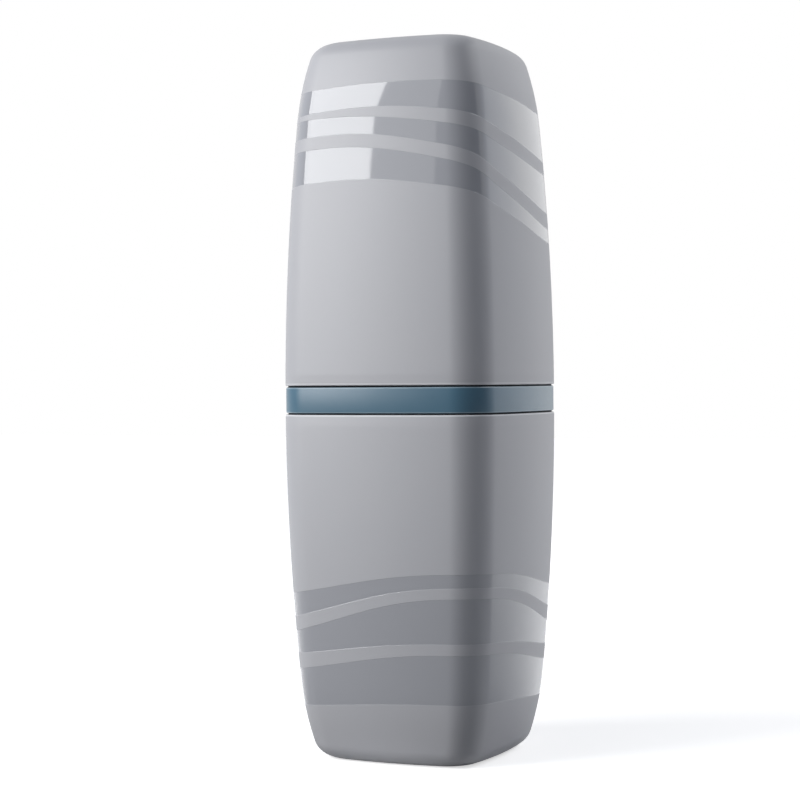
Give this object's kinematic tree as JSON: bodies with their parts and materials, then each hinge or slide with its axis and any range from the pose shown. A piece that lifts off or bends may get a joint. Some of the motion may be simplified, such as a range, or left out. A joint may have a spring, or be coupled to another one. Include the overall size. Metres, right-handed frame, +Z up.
{
  "type": "toothbrush travel cup",
  "caption": "Tall square travel case for toothbrushes: a lower cup and an upper cup with bowed sides, joined by a push-fit ring, with a lift-out partition inside.",
  "frame": {"origin": "middle of the base, on the surface that the case stands on", "axes": "+Z up along the case, -Y out of the front face, +X out of the right side face"},
  "size_m": [0.0688, 0.0688, 0.208],
  "materials": {
    "cup_plastic": "fine matt texture with polished curved bands",
    "ring_plastic": "semi-gloss blue-grey",
    "seal_rubber": "soft matt",
    "divider_plastic": "satin"
  },
  "bodies": {
    "lower": {"lower_cup": "cup_plastic"},
    "ring": {"joining_ring": "ring_plastic", "lower_seal": "seal_rubber", "upper_seal": "seal_rubber"},
    "upper": {"upper_cup": "cup_plastic"},
    "divider": {"brush_divider": "divider_plastic"}
  },
  "joints": [
    {"name": "ring_slide", "type": "slide", "parent": "lower", "child": "ring", "axis": [0, 0, 1], "range_m": [0, 0.03]},
    {"name": "upper_cup_slide", "type": "slide", "parent": "ring", "child": "upper", "axis": [0, 0, 1], "range_m": [0, 0.11]},
    {"name": "divider_slide", "type": "slide", "parent": "lower", "child": "divider", "axis": [0, 0, 1], "range_m": [0, 0.1]}
  ]
}
